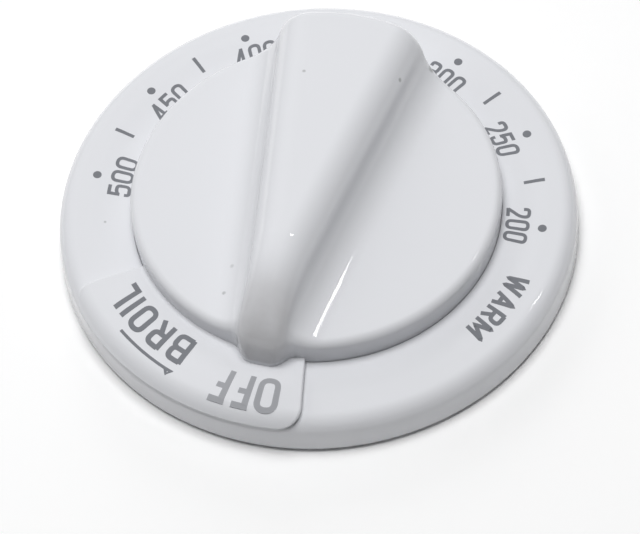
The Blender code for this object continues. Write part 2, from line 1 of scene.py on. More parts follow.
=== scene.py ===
"""Oven thermostat knob, dressed over its solid model: glossy white mouldings, grey print, steel inside.

Metres, +Z up along the shaft, the grip's nose along -Y. Shapes are worked out in millimetres and scaled when
their mesh is made.
"""
import math

import bpy
import numpy as np
from mathutils import Matrix, Vector


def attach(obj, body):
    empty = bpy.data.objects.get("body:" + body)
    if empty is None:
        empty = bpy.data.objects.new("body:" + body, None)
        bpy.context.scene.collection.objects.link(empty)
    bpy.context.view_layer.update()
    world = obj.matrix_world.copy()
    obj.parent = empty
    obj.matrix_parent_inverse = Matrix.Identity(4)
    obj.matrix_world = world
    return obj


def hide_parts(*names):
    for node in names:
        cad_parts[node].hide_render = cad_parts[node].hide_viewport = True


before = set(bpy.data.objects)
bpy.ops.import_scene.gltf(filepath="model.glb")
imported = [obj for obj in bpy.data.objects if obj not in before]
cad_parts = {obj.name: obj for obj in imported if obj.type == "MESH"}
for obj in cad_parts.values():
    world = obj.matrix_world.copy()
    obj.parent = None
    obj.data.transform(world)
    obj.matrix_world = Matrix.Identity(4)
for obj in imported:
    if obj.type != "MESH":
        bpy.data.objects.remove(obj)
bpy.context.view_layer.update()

MM = 0.001

# Skirt, millimetres
SKIRT_RADIUS = 38.4
SKIRT_HEIGHT = 5.67
SKIRT_WALL = 1.5
RIM_TAPER = 0.3
RIM_ROUND = 2.4
FLANGE_DISH = 0.8
FLANGE_BLEND = 0.12
LIP_ROUND = 0.12
RIM_FOOT_ROUND = 0.25
MARKS_RADIUS = 33.2
WEB_TOP = 6.8
WEB_UNDER = 5.3
GROOVE_FLOOR = 3.77
GROOVE_OUTER = 27.4
GROOVE_LIP = 27.13
STEP_RADIUS = 24.7
SKIRT_HOLE = 5.9
CLAMP_RADIUS = 14.5
SLOT_HALF_WIDTH = 1.75
TURN_LIMIT = math.radians(30)
NOTCHES_EACH_WAY = 6
NOTCH_PITCH = math.radians(6)
NOTCH_START = 18.8
NOTCH_LENGTH = 2.4
NOTCH_WIDTH = 0.9
NOTCH_HEIGHT = 0.5
NOTCH_BAR_HEIGHT = 1.2

# Front moulding, millimetres
HUB_RADIUS = 27.1
HUB_TOP = 9.2
HUB_FOOT = 4.07
HUB_ROUND = 1.2
FRONT_WALL = 1.8
GRIP_SHIFT = -0.6
GRIP_TOP = 17.2
GRIP_HALF_WIDTH = 6.9
GRIP_SPREAD = 0.165
GRIP_SHOULDER = 4.9
NOSE_SHOULDER = 2.2
GRIP_FILLET = 5.2
GRIP_END_ROUND = 1.5
GRIP_BLEND = 0.8
SHOULDER_BLEND = 0.6
FLANK_BOW = 0.96
NOSE_REACH = 29.3
NOSE_HALF_WIDTH = 3.4
NOSE_CORNER = 2.4
NOSE_BLEND = 1.6
NOSE_BASE = 6.02
NOSE_FOOT = 5.4
CENTRE_GAP = 0.3
PROW_START = 13.5
PROW_POWER = 1.7
PROW_DROP = 2.8
FLAP_RISE = 1.15
FLAP_GAP = 0.3
FLAP_LIP = 0.4
FLAP_TIP = math.radians(31)
FLAP_ROOT = 26.2
FLAP_CORNER = 4.0
FLAP_ROUND = 0.35
FLAP_START = math.radians(217.5)
FLAP_END = math.radians(281.2)
STEM_RADIUS = 5.6
STEM_END = 1.2
STEM_TOP = 14.7
STEM_FLAT = 4.3
RELIEF_TOP = 4.7
SHAFT_RADIUS = 3.2
SHAFT_FLAT = 2.3
SOCKET_TOP = 12.7
RIB_WIDTH = 1.4
RIB_HEIGHT = 8.0
RIB_MIDDLE = 12.3
BOSS_RADIUS = 3.05
BOSS_FOOT = 7.1
PILOT_RADIUS = 1.75
PILOT_TOP = 13.4

# Print, millimetres. Strokes of one word rise by turns, so that no two faces lie in one plane.
PRINT_RISE = 0.02
PRINT_SINK = 0.12
STROKE_STEP = 0.003
NUMBER_STROKE = 0.52
NUMBER_GAP = 0.34
DOTS = 7
DOT_RADIUS = 0.65
DOT_CIRCLE = 33.2
FIRST_DOT = math.radians(183.9)
DOT_PITCH = math.radians(30)
TICK_START = 30.5
TICK_END = 33.6
TICK_WIDTH = 0.55
TICK_RADIUS = 32.0
ARROW_START = 233.2
ARROW_END = 249.0
ARROW_RADIUS = (35.36, 35.56)
ARROW_HALF_WIDTH = 0.23
BARB_START = 247.9
BARB_SWEEP = 2.3
BARB_INNER = 35.32
BARB_OUTER = 35.74
BARB_POINT = 0.85

# Meshes: the angle from which an edge is kept sharp, and how many steps the large faces get
SHARP_EDGE = math.radians(38)
FRONT_COLUMNS = 620
FRONT_ROWS = 104
CEILING_ROWS = 34
SKIRT_STEPS = 360

# Colours
WHITE = (0.735, 0.743, 0.771)
DUST_COLOUR = (0.16, 0.17, 0.16)
# Colour of the painted shade on the nose's front, with some handling dirt in it
NOSE_SHADE_COLOUR = (0.3, 0.29, 0.29)

# Limits of the painted shade on the nose's front, millimetres: half widths of the nose, places along it,
# heights above its base
NOSE_SHADE_INNER = 2.6
NOSE_SHADE_OUTER = 4.6
NOSE_SHADE_START = -16.0
NOSE_SHADE_FULL = -26.0
NOSE_SHADE_LOW = 0.8
NOSE_SHADE_HIGH = 1.2

# Dust specks seen in the photograph: place in millimetres, radius, strength
SPECKS = (
    ((-4.95, 14.35, 17.2), 0.35, 0.5),
    ((8.64, 17.51, 14.76), 0.45, 0.6),
    ((11.8, 23.81, 10.48), 0.8, 0.6),
    ((-29.47, -10.04, 5.5), 0.3, 0.6),
    ((-7.91, -20.75, 9.43), 0.4, 0.5),
    ((-7.99, -16.23, 9.65), 0.45, 0.25),
)

# View, millimetres and pixels. The lens and the camera's place were fitted to the rim, the hub and the print.
IMAGE_WIDTH = 640.0
SENSOR_WIDTH = 36.0
LENS_PIXELS = 2250.0
VIEW_AZIMUTH = math.radians(19.0)
VIEW_ELEVATION = math.radians(56.012)
VIEW_ROLL = math.radians(5.487)
VIEW_DISTANCE = 323.07
VIEW_ASIDE = -0.421
VIEW_AHEAD = -11.672

# Light and floor. The floor's gap is in millimetres, the other lengths in metres.
LAMP_DISTANCE = 0.7
ROOM_LIGHT = 0.08
FLOOR_GAP = 0.6
FLOOR_REACH = 3.0


# Numbers and grids


def soft_min(a, b, blend):
    """The lower of a and b, eased by a parabola where they cross within a difference of blend."""
    share = np.clip(0.5 + 0.5 * (b - a) / blend, 0.0, 1.0)
    return b + (a - b) * share - blend * share * (1.0 - share)


def soft_max(a, b, blend):
    """The higher of a and b, eased in the same way."""
    return -soft_min(-a, -b, blend)


def ease(x, start, end):
    """3t^2 - 2t^3 with t going from 0 at start to 1 at end, held outside."""
    t = np.clip((x - start) / (end - start), 0.0, 1.0)
    return t * t * (3.0 - 2.0 * t)


def ring_quads(rows, columns, close_rows=False):
    """Quads of a grid whose columns run round and meet. Its rows meet too where close_rows says so."""
    i, j = np.meshgrid(np.arange(rows if close_rows else rows - 1), np.arange(columns), indexing="ij")
    below = (i + 1) % rows
    beside = (j + 1) % columns
    quads = [i * columns + j, below * columns + j, below * columns + beside, i * columns + beside]
    return np.stack(quads, axis=-1).reshape(-1, 4)


def capped_shell(grid):
    """A grid of closed rings, shut at its first and last ring by a fan about the ring's middle."""
    rows, columns, _ = grid.shape
    points = np.concatenate([grid.reshape(-1, 3), grid[:1].mean(axis=1), grid[-1:].mean(axis=1)])
    j = np.arange(columns)
    beside = (j + 1) % columns
    last = (rows - 1) * columns
    first_fan = np.stack([np.full(columns, rows * columns), j, beside], axis=1)
    last_fan = np.stack([np.full(columns, rows * columns + 1), last + beside, last + j], axis=1)
    return points, [ring_quads(rows, columns), first_fan, last_fan]


def looped_shell(grid):
    """A grid closed both ways, such as a turned ring."""
    rows, columns, _ = grid.shape
    return grid.reshape(-1, 3), [ring_quads(rows, columns, close_rows=True)]


def polar_grid(radius, height, angle, centre=(0.0, 0.0)):
    """Points at (radius, height) for each angle. The arrays share one shape, rows by columns."""
    x = centre[0] + radius * np.cos(angle)
    y = centre[1] + radius * np.sin(angle)
    return np.stack([x, y, height + 0.0 * x], axis=-1)


def turned(profile, steps, centre=(0.0, 0.0)):
    """A profile of (radius, height) carried round Z."""
    profile = np.array(profile)
    angle = np.linspace(0.0, 2 * math.pi, steps, endpoint=False)[None, :]
    return polar_grid(profile[:, :1] + 0.0 * angle, profile[:, 1:], angle, centre)


def arc(centre, radius, start, end, steps=10):
    """Points of an arc in a profile, both ends included, angles in degrees."""
    angle = np.radians(np.linspace(start, end, steps + 1))
    across = centre[0] + radius * np.cos(angle)
    up = centre[1] + radius * np.sin(angle)
    return np.stack([across, up], axis=1).tolist()


def add_piece(name, shells, finish, body):
    """One object from closed shells in millimetres, shaded smooth, with its real edges kept sharp."""
    points = []
    faces = []
    first = 0
    for shell_points, shell_faces in shells:
        points.append(shell_points)
        for block in shell_faces:
            faces += (block + first).tolist()
        first += len(shell_points)
    mesh = bpy.data.meshes.new(name)
    mesh.from_pydata((np.concatenate(points) * MM).tolist(), [], faces)
    mesh.materials.append(finish)
    mesh.shade_smooth()
    mesh.set_sharp_from_angle(angle=SHARP_EDGE)
    piece = bpy.data.objects.new(name, mesh)
    bpy.context.scene.collection.objects.link(piece)
    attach(piece, body)
    return piece


# Shapes of the mouldings


def flange_height(radius):
    """Height of the printed flange: a straight dish towards the hub, eased into the level at the marks."""
    slope = FLANGE_DISH / (MARKS_RADIUS - GROOVE_OUTER)
    level = SKIRT_HEIGHT + 0.0 * radius
    return soft_min(SKIRT_HEIGHT + slope * (radius - MARKS_RADIUS), level, FLANGE_BLEND)


def grip_height(x, y, inset=0.0):
    """Height of the hub's top with the grip on it, over the plan.

    Across: a flat, a round shoulder down to the steepest line, then the same arc turned over down to the hub.
    Both arcs are 1 - sqrt(1 - t^2), with t up to the flank's bow. Along: level, then down to the nose as
    (1 - t^1.7)^(1/2.8), which starts gently and ends upright. An inset gives the hollow inside.
    """
    across = np.abs(x - GRIP_SHIFT)
    middle = soft_max(GRIP_HALF_WIDTH + GRIP_SPREAD * y, NOSE_HALF_WIDTH, GRIP_BLEND) - inset
    to_nose = np.clip((NOSE_REACH + y) / (NOSE_REACH - PROW_START), 0.0, 1.0)
    prow_middle = GRIP_HALF_WIDTH - GRIP_SPREAD * PROW_START
    narrowing = NOSE_SHOULDER + (prow_middle - NOSE_SHOULDER) * to_nose
    shoulder = soft_min(soft_min(GRIP_SHOULDER, middle, SHOULDER_BLEND), narrowing, SHOULDER_BLEND)
    along = np.clip((-y - PROW_START) / (NOSE_REACH - PROW_START - inset), 0.0, 1.0)
    fall = (1.0 - along ** PROW_POWER) ** (1.0 / PROW_DROP)
    top = NOSE_BASE + (GRIP_TOP - NOSE_BASE - inset) * fall
    floor = np.minimum(HUB_TOP - inset, top)
    share = shoulder / (shoulder + GRIP_FILLET)
    bow = 1.0 - math.sqrt(1.0 - FLANK_BOW ** 2)
    turn = np.clip((across - middle + shoulder) / shoulder, 0.0, 1.0) * FLANK_BOW
    upper = top - (top - floor) * share * (1.0 - np.sqrt(1.0 - turn ** 2)) / bow
    turn = np.clip((middle + GRIP_FILLET - across) / GRIP_FILLET, 0.0, 1.0) * FLANK_BOW
    lower = floor + (top - floor) * (1.0 - share) * (1.0 - np.sqrt(1.0 - turn ** 2)) / bow
    return np.where(across < middle, upper, lower)


def outside_corner(side, front):
    """Distance from a right-angled corner, given the distances past its two edges. Negative inside."""
    past = np.hypot(np.maximum(side, 0.0), np.maximum(front, 0.0))
    return past + np.minimum(np.maximum(side, front), 0.0)


def outline_depth(x, y):
    """How far a point of the plan lies inside the outline: the hub's circle blended with the nose's box."""
    hub = np.hypot(x, y) - HUB_RADIUS
    side = np.abs(x - GRIP_SHIFT) - (NOSE_HALF_WIDTH - NOSE_CORNER)
    front = -y - (NOSE_REACH - NOSE_CORNER)
    nose = np.where(y < 0.0, outside_corner(side, front) - NOSE_CORNER, HUB_RADIUS)
    return -soft_min(hub, nose, NOSE_BLEND)


def outline_radius(angle):
    """Radius at which the depth inside the outline comes to nought, found by halving."""
    low = np.full_like(angle, HUB_RADIUS - 1.0)
    high = np.full_like(angle, NOSE_REACH + 1.0)
    for _ in range(40):
        middle = (low + high) / 2
        inside = outline_depth(middle * np.cos(angle), middle * np.sin(angle)) > 0.0
        low = np.where(inside, middle, low)
        high = np.where(inside, high, middle)
    return (low + high) / 2


def front_top(x, y):
    """The hub's top and grip with their edge rolled over to the outline as a quarter circle.

    The quarter circle grows with height from the hub's round to the grip's. Over the low nose it is at most
    0.6 of the height that is left above the nose's base.
    """
    height = grip_height(x, y)
    climb = np.clip((height - HUB_TOP) / (GRIP_TOP - HUB_TOP), 0.0, 1.0)
    edge = HUB_ROUND + (GRIP_END_ROUND - HUB_ROUND) * climb
    edge = np.minimum(edge, 0.6 * np.maximum(height - NOSE_BASE, 0.0))
    short = np.clip(edge - outline_depth(x, y), 0.0, edge)
    return height - edge + np.sqrt(np.maximum(edge ** 2 - short ** 2, 0.0))


def even_rows(radius, height, rows):
    """Picks rows down each column, evenly by length plus 1.2 mm for each radian of turn."""
    step_r = np.diff(radius, axis=0)
    step_z = np.diff(height, axis=0)
    slope = np.arctan2(step_z, np.abs(step_r))
    turn = np.abs(np.diff(slope, axis=0, prepend=slope[:1]))
    reached = np.cumsum(np.hypot(step_r, step_z) + 1.2 * turn, axis=0)
    reached = np.concatenate([np.zeros_like(reached[:1]), reached]) / reached[-1]
    columns = radius.shape[1]
    shift = 2.0 * np.arange(columns)
    wanted = np.linspace(0.0, 1.0, rows)[:, None] + shift
    known = (reached + shift).T.ravel()
    return np.interp(wanted, known, radius.T.ravel())


def front_shell():
    """Hub, grip and nose in one closed skin.

    Each column goes from the middle of the grip's top out to the outline, down the wall to its foot in the
    skirt's groove, up inside it and back along the ceiling. Columns crowd towards front and back, most of all
    at the nose. The nose's own foot stays above the groove.
    """
    dense = np.linspace(0.0, 2 * math.pi, 7201)
    density = 1.0 + 1.8 * ease(np.abs(np.sin(dense)), 0.15, 0.45)
    density += 4.0 * np.exp(-((dense - 1.5 * math.pi) / 0.13) ** 2)
    reached = np.concatenate([[0.0], np.cumsum(density[:-1])])
    angle = np.interp(np.linspace(0.0, reached[-1], FRONT_COLUMNS, endpoint=False), reached, dense)
    outline = outline_radius(angle)
    share = np.linspace(0.0, 1.0, 520)[:, None] ** 2
    radius = outline + (CENTRE_GAP - outline) * share
    height = front_top(radius * np.cos(angle), radius * np.sin(angle))
    radius = even_rows(radius, height, FRONT_ROWS)[::-1]
    top = polar_grid(radius, front_top(radius * np.cos(angle), radius * np.sin(angle)), angle)
    foot = HUB_FOOT + (NOSE_FOOT - HUB_FOOT) * ease(outline, HUB_RADIUS + 0.05, HUB_RADIUS + 0.15)
    drop = np.linspace(0.0, 1.0, 6)[1:, None]
    wall = polar_grid(outline + 0.0 * drop, top[-1, :, 2] + (foot - top[-1, :, 2]) * drop, angle)
    turn_in = np.minimum(outline, HUB_RADIUS - 0.02)
    inner = HUB_RADIUS - FRONT_WALL
    feet = [
        polar_grid(turn_in, foot, angle),
        polar_grid(turn_in, np.full_like(angle, HUB_FOOT), angle),
        polar_grid(np.full_like(angle, inner), np.full_like(angle, HUB_FOOT), angle),
    ]
    radius = np.linspace(inner, CENTRE_GAP, CEILING_ROWS)[:, None] + 0.0 * angle
    under = grip_height(radius * np.cos(angle), radius * np.sin(angle), FRONT_WALL)
    return capped_shell(np.concatenate([top, wall, np.stack(feet), polar_grid(radius, under, angle)]))


def flap_shell():
    """The thin flap under OFF and BROIL.

    Columns run across it, rows from its root inside the hub's wall out over the skirt's rounded rim. Each row
    is a loop, over the top one way and back underneath. The rows narrow along two corner arcs, and the top
    rolls over to the edge as a quarter circle.
    """
    bend_radius = SKIRT_RADIUS - RIM_TAPER - RIM_ROUND
    bend_height = SKIRT_HEIGHT - RIM_ROUND
    level = bend_radius - FLAP_ROOT
    curl = (math.pi / 2 - FLAP_TIP) * (RIM_ROUND + FLAP_RISE)
    length = level + curl
    half = (FLAP_END - FLAP_START) / 2 * SKIRT_RADIUS
    corner_steps = np.linspace(0.0, math.pi / 2, 26)
    along = np.concatenate([
        np.linspace(0.0, length - FLAP_CORNER, 22)[:-1],
        length - FLAP_CORNER * (1.0 - np.sin(corner_steps)),
    ])[:, None]
    past = np.clip(along - (length - FLAP_CORNER), 0.0, FLAP_CORNER)
    reach = half - FLAP_CORNER + np.sqrt(FLAP_CORNER ** 2 - past ** 2)
    share = np.sin(np.linspace(-math.pi / 2, math.pi / 2, 130))
    share = 0.35 * share + 0.65 * np.linspace(-1.0, 1.0, 130)
    share = np.sign(share) * (1.0 - (1.0 - np.abs(share)) ** 1.35)
    across = reach * share
    side = np.abs(across) - (half - FLAP_CORNER)
    front = along - (length - FLAP_CORNER)
    depth = np.maximum(FLAP_CORNER - outside_corner(side, front), 0.0)
    round_over = np.clip(along - level, 0.0, None) / curl
    thick = (FLAP_RISE - FLAP_GAP) + (FLAP_LIP - FLAP_RISE + FLAP_GAP) * ease(round_over, 0.0, 1.0)
    edge = np.minimum(FLAP_ROUND, 0.85 * thick)
    short = np.clip(edge - depth, 0.0, edge)
    thick = thick - edge + np.sqrt(np.maximum(edge ** 2 - short ** 2, 0.0))
    turn = math.pi / 2 - (math.pi / 2 - FLAP_TIP) * round_over
    flat_radius = FLAP_ROOT + np.minimum(along, level)
    angle = (FLAP_START + FLAP_END) / 2 + across / SKIRT_RADIUS

    def sheet(rise):
        """The surface a given height above the skirt's own face."""
        bent = RIM_ROUND + rise
        flat = along < level
        radius = np.where(flat, flat_radius, bend_radius + bent * np.cos(turn))
        height = np.where(flat, flange_height(flat_radius) + rise, bend_height + bent * np.sin(turn))
        return polar_grid(radius + 0.0 * angle, height, angle)

    top = sheet(FLAP_GAP + thick)
    under = sheet(FLAP_GAP + 0.0 * thick)
    loops = np.concatenate([top, under[:, ::-1]], axis=1)
    rows, columns, _ = loops.shape
    j = np.arange(columns // 2 - 1)
    near = np.stack([j, j + 1, columns - 2 - j, columns - 1 - j], axis=1)
    far = near[:, ::-1] + (rows - 1) * columns
    return loops.reshape(-1, 3), [ring_quads(rows, columns)[:, ::-1], near[:, ::-1], far[:, ::-1]]


def skirt_profile():
    """Section of the skirt: web inside the hub, groove for the hub's wall, dished flange, rounded rim."""
    bend = SKIRT_RADIUS - RIM_TAPER - RIM_ROUND
    inner_rim = SKIRT_RADIUS - SKIRT_WALL
    flange_under = SKIRT_HEIGHT - SKIRT_WALL
    inner_round = RIM_ROUND - SKIRT_WALL
    radius = np.linspace(GROOVE_LIP + LIP_ROUND, bend, 36)
    flange = np.stack([radius, flange_height(radius)], axis=1).tolist()
    lip = arc((GROOVE_LIP + LIP_ROUND, flange[0][1] - LIP_ROUND), LIP_ROUND, 180, 90, 4)[:-1]
    foot = arc((SKIRT_RADIUS - RIM_FOOT_ROUND, RIM_FOOT_ROUND), RIM_FOOT_ROUND, 0, -90, 4)
    return [
        (SKIRT_HOLE, WEB_UNDER),
        (SKIRT_HOLE, WEB_TOP),
        (STEP_RADIUS, WEB_TOP),
        (STEP_RADIUS, GROOVE_FLOOR),
        (GROOVE_OUTER, GROOVE_FLOOR),
        (GROOVE_OUTER, flange[0][1] - 0.5),
        *lip,
        *flange[:-1],
        *arc((bend, SKIRT_HEIGHT - RIM_ROUND), RIM_ROUND, 90, 0, 14),
        *foot,
        (inner_rim, 0.0),
        *arc((bend, flange_under - inner_round), inner_round, 0, 90, 6),
        (MARKS_RADIUS, flange_under),
        (GROOVE_OUTER + SKIRT_WALL, float(flange_height(GROOVE_OUTER + SKIRT_WALL)) - SKIRT_WALL),
        (GROOVE_OUTER + SKIRT_WALL, GROOVE_FLOOR - SKIRT_WALL),
        (STEP_RADIUS - SKIRT_WALL, GROOVE_FLOOR - SKIRT_WALL),
        (STEP_RADIUS - SKIRT_WALL, WEB_UNDER),
    ]


def rounded_bar(centre, size, round_off, turn=0.0):
    """An upright bar with rounded upright edges and softened ends.

    Its section is a superellipse loop: radius 1 / (|cos|^8 + |sin|^8)^(1/8), stretched to the bar's sides.
    """
    angle = np.linspace(0.0, 2 * math.pi, 40, endpoint=False)
    square = (np.abs(np.cos(angle)) ** 8 + np.abs(np.sin(angle)) ** 8) ** (-1 / 8)
    inset = np.array([round_off, round_off * 0.3, 0.0, 0.0, round_off * 0.3, round_off])[:, None]
    level = np.array([0.5, 0.5, 0.5, -0.5, -0.5, -0.5])[:, None] * size[2]
    level = level - np.array([0.0, 0.3, 1.0, -1.0, -0.3, 0.0])[:, None] * round_off
    x = (size[0] / 2 - inset) * square * np.cos(angle)
    y = (size[1] / 2 - inset) * square * np.sin(angle)
    cos, sin = math.cos(turn), math.sin(turn)
    points = [centre[0] + x * cos - y * sin, centre[1] + x * sin + y * cos, centre[2] + level + 0.0 * x]
    return capped_shell(np.stack(points, axis=-1))


def slot_cutter(middle):
    """A curved slot's solid: a loop along both arcs and round both ends, carried up."""
    ends = np.linspace(0.0, math.pi, 13)
    sweep = np.linspace(-1.0, 1.0, 41) * TURN_LIMIT + middle
    outer = (CLAMP_RADIUS + SLOT_HALF_WIDTH) * np.stack([np.cos(sweep), np.sin(sweep)], axis=1)
    inner = (CLAMP_RADIUS - SLOT_HALF_WIDTH) * np.stack([np.cos(sweep), np.sin(sweep)], axis=1)[::-1]
    last = CLAMP_RADIUS * np.array([math.cos(sweep[-1]), math.sin(sweep[-1])])
    first = CLAMP_RADIUS * np.array([math.cos(sweep[0]), math.sin(sweep[0])])
    far = last + SLOT_HALF_WIDTH * np.stack([np.cos(sweep[-1] + ends), np.sin(sweep[-1] + ends)], axis=1)
    near = first - SLOT_HALF_WIDTH * np.stack([np.cos(sweep[0] + ends), np.sin(sweep[0] + ends)], axis=1)
    loop = np.concatenate([outer, far[1:-1], inner, near[1:-1]])
    level = np.array([WEB_TOP + 1.0, WEB_UNDER - 1.0])[:, None]
    x = loop[:, 0] + 0.0 * level
    y = loop[:, 1] + 0.0 * level
    return capped_shell(np.stack([x, y, level + 0.0 * x], axis=-1))


def stem_shell():
    """The stem with its D-shaped socket. At a flat, the radius is the flat's distance over the sine."""
    angle = np.linspace(0.0, 2 * math.pi, 240, endpoint=False)[None, :]
    lift = np.maximum(np.sin(angle), 1e-6)
    outer = np.full_like(angle, STEM_RADIUS)
    relieved = np.where(np.sin(angle) > 0.0, np.minimum(STEM_RADIUS, STEM_FLAT / lift), STEM_RADIUS)
    socket = np.where(np.sin(angle) > 0.0, np.minimum(SHAFT_RADIUS, SHAFT_FLAT / lift), SHAFT_RADIUS)
    rows = [
        (outer - 0.3, STEM_TOP),
        (outer, STEM_TOP - 0.3),
        (outer, RELIEF_TOP),
        (relieved, RELIEF_TOP),
        (relieved, STEM_END + 0.2),
        (relieved - 0.2, STEM_END),
        (socket + 0.25, STEM_END),
        (socket, STEM_END + 0.3),
        (socket, SOCKET_TOP),
    ]
    return capped_shell(np.concatenate([polar_grid(r, z, angle) for r, z in rows]))


def boss_shell(y):
    """A screw boss with its pilot hole."""
    profile = [
        (BOSS_RADIUS - 0.3, STEM_TOP),
        (BOSS_RADIUS, STEM_TOP - 0.3),
        (BOSS_RADIUS, BOSS_FOOT + 0.2),
        (BOSS_RADIUS - 0.2, BOSS_FOOT),
        (PILOT_RADIUS + 0.2, BOSS_FOOT),
        (PILOT_RADIUS, BOSS_FOOT + 0.25),
        (PILOT_RADIUS, PILOT_TOP),
    ]
    return capped_shell(turned(profile, 64, (0.0, y)))


# Print


def rounded_path(corners, rounding, closed, step=0.2):
    """Straight runs in steps. Each corner turns on a parabola that starts one rounding before it."""
    corners = [np.array(c, float) for c in corners]
    count = len(corners)
    pieces = []
    for k in range(count):
        here = corners[k]
        if not closed and k in (0, count - 1):
            pieces.append(here[None, :])
            continue
        before = corners[k - 1] - here
        after = corners[(k + 1) % count] - here
        cut = min(rounding, np.linalg.norm(before) / 2, np.linalg.norm(after) / 2)
        if cut < 0.02:
            pieces.append(here[None, :])
            continue
        start = here + before / np.linalg.norm(before) * cut
        end = here + after / np.linalg.norm(after) * cut
        t = np.linspace(0.0, 1.0, 9)[:, None]
        pieces.append((1 - t) ** 2 * start + 2 * t * (1 - t) * here + t ** 2 * end)
    points = np.concatenate(pieces)
    if closed:
        points = np.concatenate([points, points[:1]])
    gaps = np.hypot(*np.diff(points, axis=0).T)
    keep = np.concatenate([[True], gaps > 1e-6])
    points = points[keep]
    gaps = gaps[gaps > 1e-6]
    extra = np.maximum(np.ceil(gaps / step).astype(int), 1)
    place = np.concatenate([np.repeat(np.arange(len(gaps)), extra), [len(gaps) - 1]])
    offset = np.concatenate([np.concatenate([np.arange(n) / n for n in extra]), [1.0]])
    path = points[place] + (points[place + 1] - points[place]) * offset[:, None]
    return path[:-1] if closed else path


def ribbon(path, width, closed, lay):
    """A stroke of print: the path widened to both sides, with mitred corners.

    lay(u, v, rise) puts each of its points on the printed face, at a height above it.
    """
    if closed:
        forward = np.roll(path, -1, axis=0) - path
    else:
        forward = np.diff(path, axis=0, append=path[-1:])
        forward[-1] = forward[-2]
    forward = forward / np.hypot(*forward.T)[:, None]
    backward = np.roll(forward, 1, axis=0)
    if not closed:
        backward[0] = forward[0]
    normal = np.stack([-(forward + backward)[:, 1], (forward + backward)[:, 0]], axis=1)
    size = np.maximum(np.hypot(*normal.T), 0.9)
    normal = normal / size[:, None] ** 2 * 2.0
    left = path + normal * width / 2
    right = path - normal * width / 2
    upper = [lay(*left.T, PRINT_RISE), lay(*right.T, PRINT_RISE)]
    lower = [lay(*right.T, -PRINT_SINK), lay(*left.T, -PRINT_SINK)]
    grid = np.stack(upper + lower, axis=1)
    if closed:
        return grid.reshape(-1, 3), [ring_quads(len(path), 4, close_rows=True)[:, ::-1]]
    count = len(path)
    ends = np.array([[3, 2, 1, 0], [4 * count - 4, 4 * count - 3, 4 * count - 2, 4 * count - 1]])
    return grid.reshape(-1, 3), [ring_quads(count, 4)[:, ::-1], ends[:, ::-1]]


# Each sign: its share of a word's width, then its strokes as corners in a unit box, their rounding as a share
# of the sign's width, and whether the stroke closes
GLYPHS = {
    "0": (1.0, [([(0, 0), (1, 0), (1, 1), (0, 1)], 0.5, True)]),
    "2": (1.0, [
        ([(0, 0.74), (0, 1), (1, 1), (1, 0.56), (0, 0)], 0.5, False),
        ([(-0.1, 0), (1.05, 0)], 0, False),
    ]),
    "3": (1.0, [
        ([(0, 0.77), (0, 1), (0.97, 1), (0.97, 0.53), (0.35, 0.53)], 0.45, False),
        ([(0.35, 0.53), (1, 0.53), (1, 0), (0, 0), (0, 0.23)], 0.45, False),
    ]),
    "4": (1.0, [
        ([(0.72, 1), (-0.02, 0.27), (1.12, 0.27)], 0, False),
        ([(0.72, 1.06), (0.72, -0.06)], 0, False),
    ]),
    "5": (1.0, [
        ([(1, 1), (0.1, 1), (0.04, 0.46)], 0, False),
        ([(0.02, 0.52), (0.35, 0.64), (1, 0.64), (1, 0), (0, 0), (0, 0.23)], 0.45, False),
    ]),
    "W": (1.5, [([(0, 1.04), (0.25, 0), (0.5, 0.97), (0.75, 0), (1, 1.04)], 0, False)]),
    "A": (1.1, [([(0, -0.04), (0.5, 1), (1, -0.04)], 0, False), ([(0.17, 0.3), (0.83, 0.3)], 0, False)]),
    "R": (1.0, [
        ([(0, -0.05), (0, 1.05)], 0, False),
        ([(0, 1), (0.95, 1), (0.95, 0.47), (0, 0.47)], 0.4, False),
        ([(0.45, 0.47), (1, -0.05)], 0, False),
    ]),
    "M": (1.2, [([(0, -0.05), (0, 1), (0.5, 0.2), (1, 1), (1, -0.05)], 0, False)]),
    "O": (1.0, [([(0, 0), (1, 0), (1, 1), (0, 1)], 0.5, True)]),
    "F": (0.7, [([(1.05, 1), (0, 1), (0, -0.05)], 0, False), ([(0, 0.52), (0.85, 0.52)], 0, False)]),
    "B": (1.08, [
        ([(0, -0.05), (0, 1.05)], 0, False),
        ([(0, 1), (0.92, 1), (0.92, 0.53), (0, 0.53)], 0.35, False),
        ([(0, 0.53), (1, 0.53), (1, 0), (0, 0)], 0.38, False),
    ]),
    "I": (0.0, [([(0, -0.05), (0, 1.05)], 0, False)]),
    "L": (0.78, [([(0, 1.05), (0, 0), (1.05, 0)], 0, False)]),
}

# Word, angle of its middle, radii of its feet and its head, width, lean
DIAL_NUMBERS = (
    ("500", 183.05, 27.75, 31.2, 7.0, 0.0),
    ("450", 153.2, 27.8, 31.45, 6.75, 1.0),
    ("400", 122.85, 28.1, 31.75, 6.6, 6.0),
    ("350", 93.4, 28.0, 31.6, 6.5, 6.0),
    ("300", 63.9, 27.9, 31.5, 6.4, 5.0),
    ("250", 35.45, 27.9, 31.3, 6.25, 11.0),
    ("200", 4.65, 27.75, 31.35, 6.15, 7.0),
)


